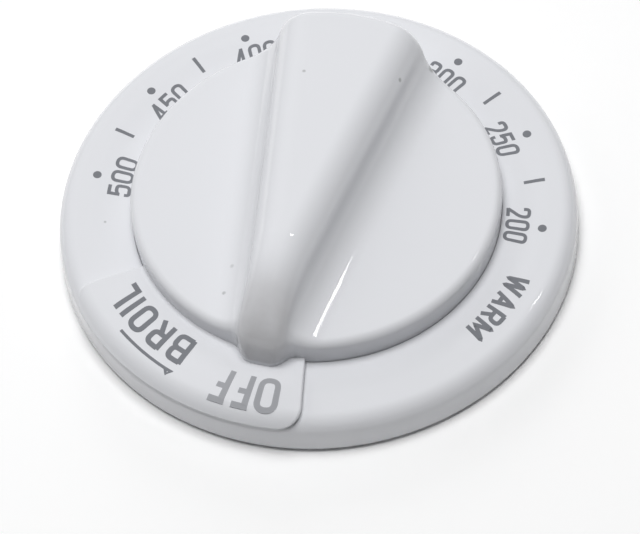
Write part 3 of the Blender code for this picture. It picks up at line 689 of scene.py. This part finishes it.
def word_shells(word, angle, low, high, width, stroke, gap, lean, surface):
    """A word set clockwise round the shaft with its feet inwards.

    Its letters share out the width by their own. Their lean to the right goes evenly from the first value of
    lean to the second, in degrees. The surface gives the height of the printed face at a radius.
    """
    fixed = len(word) * stroke + (len(word) - 1) * gap
    unit = (width - fixed) / sum(GLYPHS[letter][0] for letter in word)
    middle = (low + high) / 2

    def lay(u, v, rise):
        """Lays a flat point on the printed face: along is clockwise, up is outwards."""
        slant = np.tan(np.radians(lean[0] + (lean[1] - lean[0]) * u / width))
        turn = math.radians(angle) - (u - width / 2 + slant * (v - (high - low) / 2)) / middle
        radius = low + v
        return np.stack([radius * np.cos(turn), radius * np.sin(turn), surface(radius) + rise], axis=-1)

    shells = []
    start = stroke / 2
    lift = 0.0
    for letter in word:
        share, strokes = GLYPHS[letter]
        size = np.array([share * unit, high - low - stroke])
        for corners, rounding, closed in strokes:
            scaled = [(c * size[0] + start, r * size[1] + stroke / 2) for c, r in corners]
            path = rounded_path(scaled, rounding * max(size[0], stroke), closed)
            shells.append(ribbon(path, stroke, closed, lambda u, v, rise, up=lift: lay(u, v, rise + up)))
            lift = STROKE_STEP - lift
        start += share * unit + stroke + gap
    return shells


def dot_shell(angle):
    """One printed dot: a very low dome turned about its own middle, with its edge sunk in the flange.

    The profile is drawn for a radius of 0.6 and a rise of 1.
    """
    profile = [(0.05, 1.0), (0.3, 0.99), (0.45, 0.9), (0.56, 0.5), (0.6, 0.0), (0.6, -6.0)]
    grid = turned([(r / 0.6 * DOT_RADIUS, z * PRINT_RISE) for r, z in profile], 28)
    grid[..., 0] += DOT_CIRCLE * math.cos(angle)
    grid[..., 1] += DOT_CIRCLE * math.sin(angle)
    grid[..., 2] += flange_height(np.hypot(grid[..., 0], grid[..., 1]))
    return capped_shell(grid)


def tick_shell(angle):
    """One printed tick, along a radius."""

    def lay(u, v, rise):
        """A point of the flange beside the tick's middle line, at a radius."""
        turn = angle - u / TICK_RADIUS
        return np.stack([v * np.cos(turn), v * np.sin(turn), flange_height(v) + rise], axis=-1)

    path = np.stack([np.zeros(12), np.linspace(TICK_START, TICK_END, 12)], axis=1)
    return ribbon(path, TICK_WIDTH, False, lay)


def flap_top(radius):
    """Height of the flap's printed face: level over the marks, then a circle about the rim's own rounding."""
    past = np.clip(radius - (SKIRT_RADIUS - RIM_TAPER - RIM_ROUND), 0.0, RIM_ROUND)
    bend = RIM_ROUND + FLAP_RISE
    return flange_height(radius) + FLAP_RISE - bend + np.sqrt(bend ** 2 - past ** 2)


def arrow_shells():
    """Thin arrow by the flap's edge: a line round the shaft, and a barb on its outer side at the OFF end.

    The line is a loop of four sides carried along an arc. The barb's outer side goes out and back in straight
    lines.
    """

    def lay(u, v, rise):
        """A point of the flap's printed face at an angle and a radius."""
        return np.stack([v * np.cos(u), v * np.sin(u), flap_top(v) + rise], axis=-1)

    count = 50
    turn = np.radians(np.linspace(ARROW_START, ARROW_END, count))
    outer = np.linspace(*ARROW_RADIUS, count) + ARROW_HALF_WIDTH
    inner = np.linspace(*ARROW_RADIUS, count) - ARROW_HALF_WIDTH
    upper = [lay(turn, outer, PRINT_RISE), lay(turn, inner, PRINT_RISE)]
    lower = [lay(turn, inner, -PRINT_SINK), lay(turn, outer, -PRINT_SINK)]
    ends = np.array([[3, 2, 1, 0], [4 * count - 4, 4 * count - 3, 4 * count - 2, 4 * count - 1]])
    line = (np.stack(upper + lower, axis=1).reshape(-1, 3), [ring_quads(count, 4), ends])
    count = 13
    share = np.linspace(0.0, 1.0, count)
    turn = np.radians(BARB_START + BARB_SWEEP * share)
    inner = BARB_INNER + 0.0 * share
    outer = BARB_OUTER + BARB_POINT * (1.0 - np.abs(2.0 * share - 1.0)) - 0.3 * share
    upper = [lay(turn, inner, 1.3 * PRINT_RISE), lay(turn, outer, 1.3 * PRINT_RISE)]
    lower = [lay(turn, outer, -PRINT_SINK), lay(turn, inner, -PRINT_SINK)]
    ends = np.array([[0, 1, 2, 3], [4 * count - 1, 4 * count - 2, 4 * count - 3, 4 * count - 4]])
    barb = (np.stack(upper + lower, axis=1).reshape(-1, 3), [ring_quads(count, 4)[:, ::-1], ends])
    return [line, barb]


# Finishes


def add_node(tree, kind, **settings):
    """A node with its properties set."""
    node = tree.nodes.new(kind)
    for key, value in settings.items():
        setattr(node, key, value)
    return node


def moulded_group():
    """A moulded or metal surface: very faint cloudy tone, uneven gloss and a soft unevenness."""
    group = bpy.data.node_groups.new("moulded_surface", "ShaderNodeTree")
    face = group.interface
    face.new_socket(name="Colour", in_out="INPUT", socket_type="NodeSocketColor")
    face.new_socket(name="Cloud", in_out="INPUT", socket_type="NodeSocketFloat")
    face.new_socket(name="Gloss", in_out="INPUT", socket_type="NodeSocketFloat")
    face.new_socket(name="Colour", in_out="OUTPUT", socket_type="NodeSocketColor")
    face.new_socket(name="Roughness", in_out="OUTPUT", socket_type="NodeSocketFloat")
    face.new_socket(name="Height", in_out="OUTPUT", socket_type="NodeSocketFloat")
    given = add_node(group, "NodeGroupInput")
    put = add_node(group, "NodeGroupOutput")
    place = add_node(group, "ShaderNodeTexCoord")
    link = group.links.new
    broad = add_node(group, "ShaderNodeTexNoise")
    broad.inputs["Scale"].default_value = 55.0
    broad.inputs["Detail"].default_value = 3.0
    fine = add_node(group, "ShaderNodeTexNoise")
    fine.inputs["Scale"].default_value = 900.0
    fine.inputs["Detail"].default_value = 2.0
    for noise in (broad, fine):
        link(place.outputs["Object"], noise.inputs["Vector"])
    tone = add_node(group, "ShaderNodeMapRange")
    tone.inputs["To Min"].default_value = 1.0
    link(broad.outputs["Fac"], tone.inputs["Value"])
    shade = add_node(group, "ShaderNodeMath", operation="SUBTRACT")
    shade.inputs[0].default_value = 1.0
    link(given.outputs["Cloud"], shade.inputs[1])
    link(shade.outputs[0], tone.inputs["To Max"])
    tint = add_node(group, "ShaderNodeVectorMath", operation="SCALE")
    link(given.outputs["Colour"], tint.inputs[0])
    link(tone.outputs["Result"], tint.inputs["Scale"])
    link(tint.outputs["Vector"], put.inputs["Colour"])
    uneven = add_node(group, "ShaderNodeMapRange")
    uneven.inputs["To Min"].default_value = -0.015
    uneven.inputs["To Max"].default_value = 0.015
    link(broad.outputs["Fac"], uneven.inputs["Value"])
    gloss = add_node(group, "ShaderNodeMath", operation="ADD")
    link(given.outputs["Gloss"], gloss.inputs[0])
    link(uneven.outputs["Result"], gloss.inputs[1])
    link(gloss.outputs[0], put.inputs["Roughness"])
    link(fine.outputs["Fac"], put.inputs["Height"])
    return group


def specks_group():
    """Dust specks, as a mask: nearness to each listed spot, the strongest taken, roughened by a noise."""
    group = bpy.data.node_groups.new("dust_specks", "ShaderNodeTree")
    group.interface.new_socket(name="Mask", in_out="OUTPUT", socket_type="NodeSocketFloat")
    put = add_node(group, "NodeGroupOutput")
    link = group.links.new
    place = add_node(group, "ShaderNodeTexCoord")
    ragged = add_node(group, "ShaderNodeTexNoise")
    ragged.inputs["Scale"].default_value = 1500.0
    link(place.outputs["Object"], ragged.inputs["Vector"])
    mask = None
    for spot, radius, strength in SPECKS:
        away = add_node(group, "ShaderNodeVectorMath", operation="DISTANCE")
        away.inputs[1].default_value = [value * MM for value in spot]
        link(place.outputs["Object"], away.inputs[0])
        near = add_node(group, "ShaderNodeMapRange", interpolation_type="SMOOTHSTEP")
        near.inputs["From Min"].default_value = radius * MM
        near.inputs["From Max"].default_value = radius * MM * 0.3
        near.inputs["To Max"].default_value = strength
        link(away.outputs["Value"], near.inputs["Value"])
        if mask is None:
            mask = near.outputs["Result"]
            continue
        most = add_node(group, "ShaderNodeMath", operation="MAXIMUM")
        link(mask, most.inputs[0])
        link(near.outputs["Result"], most.inputs[1])
        mask = most.outputs[0]
    worn = add_node(group, "ShaderNodeMapRange")
    worn.inputs["From Min"].default_value = 0.3
    worn.inputs["From Max"].default_value = 0.5
    worn.inputs["To Min"].default_value = 0.5
    link(ragged.outputs["Fac"], worn.inputs["Value"])
    both = add_node(group, "ShaderNodeMath", operation="MULTIPLY", use_clamp=True)
    link(mask, both.inputs[0])
    link(worn.outputs["Result"], both.inputs[1])
    link(both.outputs[0], put.inputs["Mask"])
    return group


def plastic_finish(name, colour, gloss, cloud, bump):
    """Glossy moulded plastic."""
    material = bpy.data.materials.new(name)
    material.use_nodes = True
    tree = material.node_tree
    shader = tree.nodes["Principled BSDF"]
    surface = add_node(tree, "ShaderNodeGroup", node_tree=MOULDED)
    surface.inputs["Colour"].default_value = (*colour, 1.0)
    surface.inputs["Cloud"].default_value = cloud
    surface.inputs["Gloss"].default_value = gloss
    relief = add_node(tree, "ShaderNodeBump")
    relief.inputs["Strength"].default_value = bump
    relief.inputs["Distance"].default_value = 0.00002
    link = tree.links.new
    link(surface.outputs["Colour"], shader.inputs["Base Color"])
    link(surface.outputs["Roughness"], shader.inputs["Roughness"])
    link(surface.outputs["Height"], relief.inputs["Height"])
    link(relief.outputs["Normal"], shader.inputs["Normal"])
    return material


def steel_finish(name, colour, gloss, cloud, bump):
    """Plated or spring steel, with the same uneven surface."""
    material = plastic_finish(name, colour, gloss, cloud, bump)
    material.node_tree.nodes["Principled BSDF"].inputs["Metallic"].default_value = 1.0
    return material


def add_dirt_and_shade(material, effect, colour, rough, share):
    """Puts a mask of dirt or of painted shade over a finish: its colour and dullness, as far as the mask
    times the share.

    Sockets of a mix node share their names, so they are taken by number.
    """
    tree = material.node_tree
    shader = tree.nodes["Principled BSDF"]
    dirt_and_shade_node = add_node(tree, "ShaderNodeGroup", node_tree=effect)
    amount = add_node(tree, "ShaderNodeMath", operation="MULTIPLY")
    amount.inputs[1].default_value = share
    tree.links.new(dirt_and_shade_node.outputs["Mask"], amount.inputs[0])
    for socket, dirt_and_shade_value in (("Base Color", (*colour, 1.0)), ("Roughness", rough)):
        clean = shader.inputs[socket].links[0].from_socket
        tone = socket == "Base Color"
        mix = add_node(tree, "ShaderNodeMix", data_type="RGBA" if tone else "FLOAT")
        low, high, out = (6, 7, 2) if tone else (2, 3, 0)
        mix.inputs[high].default_value = dirt_and_shade_value
        tree.links.new(amount.outputs[0], mix.inputs[0])
        tree.links.new(clean, mix.inputs[low])
        tree.links.new(mix.outputs[out], shader.inputs[socket])


def nose_shade_group():
    """Darkening of the nose's front, as a mask: painted shade, with patches like handling dirt.

    Four factors are multiplied: full between the nose's sides, growing towards its tip, patchy by a noise,
    and nought down on the flap.
    """
    group = bpy.data.node_groups.new("nose_painted_shade", "ShaderNodeTree")
    group.interface.new_socket(name="Mask", in_out="OUTPUT", socket_type="NodeSocketFloat")
    put = add_node(group, "NodeGroupOutput")
    link = group.links.new
    place = add_node(group, "ShaderNodeTexCoord")
    parts = add_node(group, "ShaderNodeSeparateXYZ")
    link(place.outputs["Object"], parts.inputs[0])
    offset = add_node(group, "ShaderNodeMath", operation="SUBTRACT")
    offset.inputs[1].default_value = GRIP_SHIFT * MM
    link(parts.outputs["X"], offset.inputs[0])
    aside = add_node(group, "ShaderNodeMath", operation="ABSOLUTE")
    link(offset.outputs[0], aside.inputs[0])
    between = add_node(group, "ShaderNodeMapRange", interpolation_type="SMOOTHSTEP")
    between.inputs["From Min"].default_value = NOSE_SHADE_OUTER * MM
    between.inputs["From Max"].default_value = NOSE_SHADE_INNER * MM
    link(aside.outputs[0], between.inputs["Value"])
    forward = add_node(group, "ShaderNodeMapRange", interpolation_type="SMOOTHSTEP")
    forward.inputs["From Min"].default_value = NOSE_SHADE_START * MM
    forward.inputs["From Max"].default_value = NOSE_SHADE_FULL * MM
    link(parts.outputs["Y"], forward.inputs["Value"])
    cloud = add_node(group, "ShaderNodeTexNoise")
    cloud.inputs["Scale"].default_value = 300.0
    cloud.inputs["Detail"].default_value = 4.0
    link(place.outputs["Object"], cloud.inputs["Vector"])
    patchy = add_node(group, "ShaderNodeMapRange")
    patchy.inputs["To Min"].default_value = 0.6
    patchy.inputs["To Max"].default_value = 1.25
    link(cloud.outputs["Fac"], patchy.inputs["Value"])
    above = add_node(group, "ShaderNodeMapRange")
    above.inputs["From Min"].default_value = (NOSE_BASE + NOSE_SHADE_LOW) * MM
    above.inputs["From Max"].default_value = (NOSE_BASE + NOSE_SHADE_HIGH) * MM
    link(parts.outputs["Z"], above.inputs["Value"])
    mask = between.outputs["Result"]
    for share in (forward, patchy, above):
        both = add_node(group, "ShaderNodeMath", operation="MULTIPLY", use_clamp=True)
        link(mask, both.inputs[0])
        link(share.outputs["Result"], both.inputs[1])
        mask = both.outputs[0]
    link(mask, put.inputs["Mask"])
    return group


MOULDED = moulded_group()
DUST = specks_group()
NOSE_SHADE_GROUP = nose_shade_group()
white_plastic = plastic_finish("white_plastic", WHITE, 0.05, 0.02, 0.08)
skirt_plastic = plastic_finish("skirt_white_plastic", WHITE, 0.05, 0.02, 0.08)
# The nose's front is darkened by painted shade with patchy handling dirt; the dust specks are real marks on
# both mouldings
add_dirt_and_shade(white_plastic, NOSE_SHADE_GROUP, NOSE_SHADE_COLOUR, 0.25, 0.45)
add_dirt_and_shade(white_plastic, DUST, DUST_COLOUR, 0.6, 1.0)
add_dirt_and_shade(skirt_plastic, DUST, DUST_COLOUR, 0.6, 1.0)
grey_print = plastic_finish("grey_print", (0.215, 0.223, 0.243), 0.45, 0.15, 0.3)
pale_print = plastic_finish("pale_print", (0.385, 0.392, 0.415), 0.4, 0.15, 0.3)
zinc_plate = steel_finish("zinc_plate", (0.62, 0.63, 0.65), 0.34, 0.12, 0.5)
zinc_screw = steel_finish("zinc_screw", (0.58, 0.59, 0.6), 0.3, 0.12, 0.5)
spring_strip = steel_finish("spring_strip", (0.42, 0.43, 0.45), 0.36, 0.2, 0.5)


# Pieces


def make_front():
    """Front moulding, its flap, and what is moulded inside."""
    skin = add_piece("front_moulding", [front_shell()], white_plastic, "front")
    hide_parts("knob_front")
    add_piece("front_flap", [flap_shell()], white_plastic, "front")
    inside = [stem_shell(), boss_shell(-CLAMP_RADIUS), boss_shell(CLAMP_RADIUS)]
    inside.append(rounded_bar((0.0, 0.0, RIB_MIDDLE), (RIB_WIDTH, 2 * CLAMP_RADIUS, RIB_HEIGHT), 0.15))
    add_piece("stem_and_bosses", inside, white_plastic, "front")


def make_skirt():
    """Skirt with its slots cut through and its notches under the web."""
    ring = looped_shell(turned(skirt_profile(), SKIRT_STEPS))
    skirt = add_piece("printed_skirt", [ring], skirt_plastic, "skirt")
    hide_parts("dial_skirt")
    for middle in (-math.pi / 2, math.pi / 2):
        points, faces = slot_cutter(middle)
        mesh = bpy.data.meshes.new("slot")
        mesh.from_pydata((points * MM).tolist(), [], [face for block in faces for face in block.tolist()])
        tool = bpy.data.objects.new("slot", mesh)
        bpy.context.scene.collection.objects.link(tool)
        cut = skirt.modifiers.new("slot", "BOOLEAN")
        cut.operation = "DIFFERENCE"
        cut.solver = "EXACT"
        cut.object = tool
        done = bpy.data.meshes.new_from_object(skirt.evaluated_get(bpy.context.evaluated_depsgraph_get()))
        skirt.modifiers.clear()
        skirt.data = done
        bpy.data.objects.remove(tool)
    skirt.data.shade_smooth()
    skirt.data.set_sharp_from_angle(angle=SHARP_EDGE)
    notches = []
    for k in range(-NOTCHES_EACH_WAY, NOTCHES_EACH_WAY + 1):
        angle = math.pi / 2 + k * NOTCH_PITCH
        middle = NOTCH_START + NOTCH_LENGTH / 2
        height = WEB_UNDER - NOTCH_HEIGHT + NOTCH_BAR_HEIGHT / 2
        centre = (middle * math.cos(angle), middle * math.sin(angle), height)
        notches.append(rounded_bar(centre, (NOTCH_LENGTH, NOTCH_WIDTH, NOTCH_BAR_HEIGHT), 0.12, angle))
    add_piece("skirt_notches", notches, skirt_plastic, "skirt")


def make_print():
    """Dots, ticks, numbers and words."""
    marks = []
    for k in range(DOTS):
        marks.append(dot_shell(FIRST_DOT - k * DOT_PITCH))
    for k in range(DOTS - 1):
        marks.append(tick_shell(FIRST_DOT - (k + 0.5) * DOT_PITCH))
    add_piece("dial_marks", marks, grey_print, "skirt")
    numbers = []
    for word, angle, low, high, width, lean in DIAL_NUMBERS:
        numbers += word_shells(
            word, angle, low, high, width, NUMBER_STROKE, NUMBER_GAP, (lean, lean), flange_height,
        )
    numbers += word_shells("WARM", 337.8, 30.5, 34.2, 12.0, 0.66, 0.34, (6.0, 8.0), flange_height)
    add_piece("dial_numbers", numbers, grey_print, "skirt")
    off = word_shells("OFF", 267.8, 31.25, 36.95, 9.7, 0.86, 0.66, (0.0, 0.0), flap_top)
    add_piece("word_off", off, pale_print, "front")
    words = word_shells("BROIL", 236.45, 29.3, 34.2, 15.3, 0.8, 0.8, (-4.0, -11.0), flap_top)
    add_piece("word_broil", words, grey_print, "front")
    add_piece("flap_arrow", arrow_shells(), grey_print, "front")


make_front()
make_skirt()
make_print()
for node, finish in (
    ("pointer_plate", zinc_plate),
    ("clamp_screw_front", zinc_screw),
    ("clamp_screw_rear", zinc_screw),
    ("shaft_clip", spring_strip),
):
    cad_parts[node].material_slots[0].material = finish


# Stage, light and camera


def make_floor():
    """Plain white floor, just clear of the rim, which gives the narrow dark gap seen in the photograph."""
    mesh = bpy.data.meshes.new("floor")
    signs = ((-1, -1), (1, -1), (1, 1), (-1, 1))
    corners = [(FLOOR_REACH * x, FLOOR_REACH * y, -FLOOR_GAP * MM) for x, y in signs]
    mesh.from_pydata(corners, [], [(0, 1, 2, 3)])
    floor = bpy.data.objects.new("floor", mesh)
    bpy.context.scene.collection.objects.link(floor)
    mesh.materials.append(plastic_finish("white_sheet", (0.98, 0.98, 0.98), 0.6, 0.0, 0.0))


def add_softbox(name, across, width, height, power, mirrored=False, turn=0.0):
    """A soft light aimed at the knob, turned in its own plane by degrees.

    Its direction is (right, away, up) as the camera stands. Only a mirrored one shows in reflections.
    """
    lamp = bpy.data.lights.new(name, "AREA")
    lamp.shape = "RECTANGLE"
    lamp.size = width
    lamp.size_y = height
    lamp.energy = power
    held = bpy.data.objects.new(name, lamp)
    held.visible_glossy = mirrored
    bpy.context.scene.collection.objects.link(held)
    direction = Matrix.Rotation(VIEW_AZIMUTH, 3, "Z") @ Vector(across).normalized()
    held.location = direction * LAMP_DISTANCE
    aimed = direction.to_track_quat("Z", "Y").to_matrix() @ Matrix.Rotation(math.radians(turn), 3, "Z")
    held.rotation_euler = aimed.to_euler()


def make_light():
    """Soft light from overhead, weaker from behind, left and right, and one narrow lamp for a streak."""
    scene = bpy.context.scene
    scene.world = bpy.data.worlds.new("white_room")
    scene.world.use_nodes = True
    back = scene.world.node_tree.nodes["Background"]
    back.inputs["Color"].default_value = (0.97, 0.985, 1.0, 1.0)
    back.inputs["Strength"].default_value = ROOM_LIGHT
    add_softbox("ceiling", (-0.05, 0.06, 1.0), 0.35, 0.35, 4.2)
    add_softbox("back_wall", (0.0, 0.94, 0.34), 0.37, 0.37, 1.2)
    add_softbox("window", (-0.75, 0.3, 0.5), 0.37, 0.37, 0.6)
    add_softbox("right_wall", (0.9, 0.0, 0.45), 0.37, 0.37, 0.1)
    add_softbox("tube", (0.405, 0.305, 0.85), 0.1, 0.012, 0.1, mirrored=True, turn=36.0)
    scene.view_settings.view_transform = "Standard"


def make_camera():
    """The photograph's view: a long lens from the front, 56 degrees up, rolled a little."""
    around = Matrix.Rotation(VIEW_AZIMUTH, 3, "Z")
    forward = around @ Vector((0.0, math.cos(VIEW_ELEVATION), -math.sin(VIEW_ELEVATION)))
    right = around @ Vector((1.0, 0.0, 0.0))
    up = right.cross(forward)
    target = around @ Vector((VIEW_ASIDE, VIEW_AHEAD, 0.0)) + Vector((0.0, 0.0, SKIRT_HEIGHT))
    data = bpy.data.cameras.new("camera")
    data.sensor_fit = "HORIZONTAL"
    data.sensor_width = SENSOR_WIDTH
    data.lens = LENS_PIXELS / IMAGE_WIDTH * SENSOR_WIDTH
    data.clip_start = 0.01
    camera = bpy.data.objects.new("camera", data)
    bpy.context.scene.collection.objects.link(camera)
    axes = Matrix((right, up, -forward)).transposed() @ Matrix.Rotation(-VIEW_ROLL, 3, "Z")
    camera.matrix_world = Matrix.Translation((target - forward * VIEW_DISTANCE) * MM) @ axes.to_4x4()
    bpy.context.scene.camera = camera


make_floor()
make_light()
make_camera()
